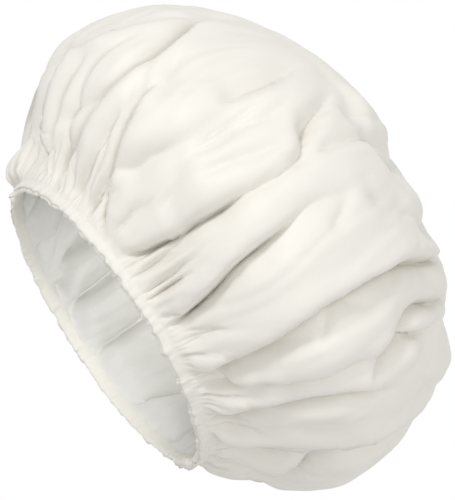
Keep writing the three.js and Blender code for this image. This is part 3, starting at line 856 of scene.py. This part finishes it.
def twisted_thread(name, colour):
    """Spun thread: plies that wind round it, seen as slanting lines, with painted shade in the grooves
    between them.
    """
    material, tree = new_material(name)
    place = node(tree, "ShaderNodeTexCoord").outputs["Object"]
    twist = {"Vector": place, "Scale": 900.0, "Distortion": 1.5}
    plies = node(tree, "ShaderNodeTexWave", twist, bands_direction="DIAGONAL").outputs["Fac"]
    relief = {"Height": plies, "Strength": 0.4, "Distance": 0.05 * MM}
    ridge = node(tree, "ShaderNodeBump", relief).outputs[0]
    # Painted shade in the grooves between the plies, following the same bands as their relief.
    painted_groove_shade = [PAINTED_PLY_GROOVE_SHADE * part for part in colour]
    surface(tree, colour_mix(tree, plies, painted_groove_shade, colour), ridge, roughness=0.6)
    return material


def stitch_nodes():
    """Stitches laid end to end along a closed line, each a slim rounded bar."""
    shape = {"Geometry": "NodeSocketGeometry"}
    inputs = shape | {"Count": "NodeSocketInt", "Length": "NodeSocketFloat", "Radius": "NodeSocketFloat",
                      "Material": "NodeSocketMaterial"}
    group, given, made = node_group("stitches", "GeometryNodeTree", inputs, shape)
    line = node(group, "GeometryNodeMeshToCurve", {"Mesh": given["Geometry"]}).outputs["Curve"]
    spacing = {"Curve": line, "Count": given["Count"]}
    spots = node(group, "GeometryNodeResampleCurve", spacing).outputs["Curve"]
    ball = {"Segments": 8, "Rings": 6, "Radius": 1.0}
    bar = node(group, "GeometryNodeMeshUVSphere", ball).outputs["Mesh"]
    half = math_node(group, "MULTIPLY", given["Length"], 0.5)
    sides = {"X": given["Radius"], "Y": given["Radius"], "Z": half}
    size = node(group, "ShaderNodeCombineXYZ", sides).outputs[0]
    aim = node(group, "GeometryNodeInputTangent").outputs["Tangent"]
    turned = node(group, "FunctionNodeAlignRotationToVector", {"Vector": aim}, axis="Z").outputs[0]
    laying = {"Points": spots, "Instance": bar, "Rotation": turned, "Scale": size}
    laid = node(group, "GeometryNodeInstanceOnPoints", laying).outputs["Instances"]
    whole = node(group, "GeometryNodeRealizeInstances", {"Geometry": laid}).outputs[0]
    smooth = node(group, "GeometryNodeSetShadeSmooth", {"Geometry": whole}).outputs[0]
    dyed = node(group, "GeometryNodeSetMaterial", {"Geometry": smooth, "Material": given["Material"]})
    group.links.new(dyed.outputs[0], made["Geometry"])
    return group


def stitch_row(name, points, cad_node):
    """A row of stitches through these points, in place of a CAD thread."""
    line = bpy.data.meshes.new(name + "_line")
    count = len(points)
    line.from_pydata(points.tolist(), [(i, (i + 1) % count) for i in range(count)], [])
    guide = new_object(name + "_line", line)
    sewing = guide.modifiers.new("stitches", "NODES")
    sewing.node_group = stitches
    values = {"Count": STITCHES, "Length": STITCH_LENGTH, "Radius": THREAD_RADIUS, "Material": thread}
    for socket in stitches.interface.items_tree:
        if socket.name in values:
            sewing[socket.identifier] = values[socket.name]
    sewn = guide.evaluated_get(bpy.context.evaluated_depsgraph_get())
    row = new_object(name, bpy.data.meshes.new_from_object(sewn))
    bpy.data.objects.remove(guide)
    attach(row, "root")
    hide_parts(cad_node)


stitches = stitch_nodes()
thread = twisted_thread("ivory_thread", IVORY)
stitch_row("needle_stitches", grid[:, SEAM_OUTER], "hem_needle_thread")
stitch_row("bobbin_stitches", grid[:, SEAM_INNER], "hem_bobbin_thread")

# Elastic band and its tack. A flat braid of covered rubber yarn, closed into a ring by a bar of zigzag
# stitches. Both lie hidden in the binding.
RUBBER = (0.70, 0.69, 0.66)
COVER = (0.80, 0.79, 0.76)


def braided_elastic():
    """Covered rubber yarns side by side round the band, crossed by the covering thread."""
    material, tree = new_material("braided_elastic")
    place = node(tree, "ShaderNodeTexCoord").outputs["Object"]
    lines = {"Vector": place, "Scale": 250.0}
    yarns = node(tree, "ShaderNodeTexWave", lines, bands_direction="Z").outputs["Fac"]
    cover = node(tree, "ShaderNodeTexNoise", {"Vector": place, "Scale": 1800.0}).outputs["Fac"]
    relief = {"Height": math_node(tree, "ADD", yarns, cover), "Strength": 0.6, "Distance": 0.1 * MM}
    ribs = node(tree, "ShaderNodeBump", relief).outputs[0]
    surface(tree, colour_mix(tree, yarns, RUBBER, COVER), ribs, roughness=0.7)
    return material


for name, material in (("elastic_band", braided_elastic()), ("elastic_tack_thread", thread)):
    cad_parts[name].data.materials.clear()
    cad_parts[name].data.materials.append(material)

# Stage. A white room with soft panels at the upper left, the front and the right of the view, a small
# lamp inside the cap for the light that thin pale cloth lets through, and a pale floor that shows only from
# above.
PANEL_DISTANCE = 1.6  # in metres, as are the sizes below
GLOW_DISTANCE = 0.06
GLOW_SPREAD = math.radians(95)
ROOM_LIGHT = 0.71  # strength of the room's light on things
FLOOR_SIZE = 1.8
FLOOR_DROP = 0.5 * MM  # below the lowest point of the cap
FLOOR_CLEAR, FLOOR_END = 0.3, 0.8  # distances from the middle between which the floor fades out
PAPER = (0.95, 0.95, 0.94, 1)


def soft_lamp(name, direction, distance, size, power):
    """A soft panel that faces the cap."""
    panel = bpy.data.lights.new(name, "AREA")
    panel.energy = power
    panel.size = size
    lamp = new_object(name, panel)
    lamp.location = VIEW_TARGET + direction.normalized() * distance
    lamp.rotation_mode = "QUATERNION"
    lamp.rotation_quaternion = direction.to_track_quat("Z", "Y")
    return lamp


def seen_share(tree):
    """1 for rays from the camera, mirrors and glass, and 0 for the light that falls on things."""
    path = node(tree, "ShaderNodeLightPath").outputs
    mirrored = math_node(tree, "MAXIMUM", path["Is Glossy Ray"], path["Is Transmission Ray"])
    return math_node(tree, "MAXIMUM", path["Is Camera Ray"], mirrored)


key_side = view_back * 0.7 + view_up * 0.6 - view_right * 0.3
front_side = view_back + view_right * 0.15 - view_up * 0.15
crown_side = view_back * 0.55 + view_right * 0.8 + view_up * 0.1
soft_lamp("key_panel", key_side, PANEL_DISTANCE, size=0.3, power=8.2)
soft_lamp("front_panel", front_side, PANEL_DISTANCE, size=0.3, power=3.6)
soft_lamp("top_panel", crown_side, PANEL_DISTANCE, size=0.5, power=1.8)
glow = soft_lamp("cloth_glow", Vector((0.05, -0.99, 0.1)), GLOW_DISTANCE, size=0.05, power=0.047)
glow.data.spread = GLOW_SPREAD
glow.visible_camera = False
world = bpy.data.worlds.new("white_room")
scene.world = world
world.use_nodes = True
tree = world.node_tree
sky = tree.nodes["Background"].inputs
sky["Color"].default_value = (1, 1, 1, 1)
strength = math_node(tree, "MULTIPLY_ADD", seen_share(tree), 1 - ROOM_LIGHT, ROOM_LIGHT)
tree.links.new(strength, sky["Strength"])

visual_box = [list(corner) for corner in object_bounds()]
low = visual_box[0][2] - FLOOR_DROP
half = FLOOR_SIZE / 2
floor_mesh = bpy.data.meshes.new("floor")
floor_corners = [(-half, -half, low), (half, -half, low), (half, half, low), (-half, half, low)]
floor_mesh.from_pydata(floor_corners, [], [(0, 1, 2, 3)])
floor = new_object("floor", floor_mesh)
paper, tree = new_material("white_paper")
floor_mesh.materials.append(paper)
front = math_node(tree, "SUBTRACT", 1.0, node(tree, "ShaderNodeNewGeometry").outputs["Backfacing"])
place = node(tree, "ShaderNodeTexCoord").outputs["Object"]
reach = node(tree, "ShaderNodeVectorMath", {0: place}, operation="LENGTH").outputs["Value"]
fading = {"Value": reach, "From Min": FLOOR_CLEAR, "From Max": FLOOR_END, "To Min": 1.0, "To Max": 0.0}
fade = node(tree, "ShaderNodeMapRange", fading).outputs["Result"]
share = math_node(tree, "MULTIPLY", math_node(tree, "MULTIPLY", seen_share(tree), front), fade)
matte = node(tree, "ShaderNodeBsdfDiffuse", {"Color": PAPER})
clear = node(tree, "ShaderNodeBsdfTransparent")
mix = node(tree, "ShaderNodeMixShader", {0: share, 1: clear.outputs[0], 2: matte.outputs[0]})
tree.links.new(mix.outputs[0], tree.nodes["Material Output"].inputs["Surface"])
tree.nodes.remove(tree.nodes["Principled BSDF"])
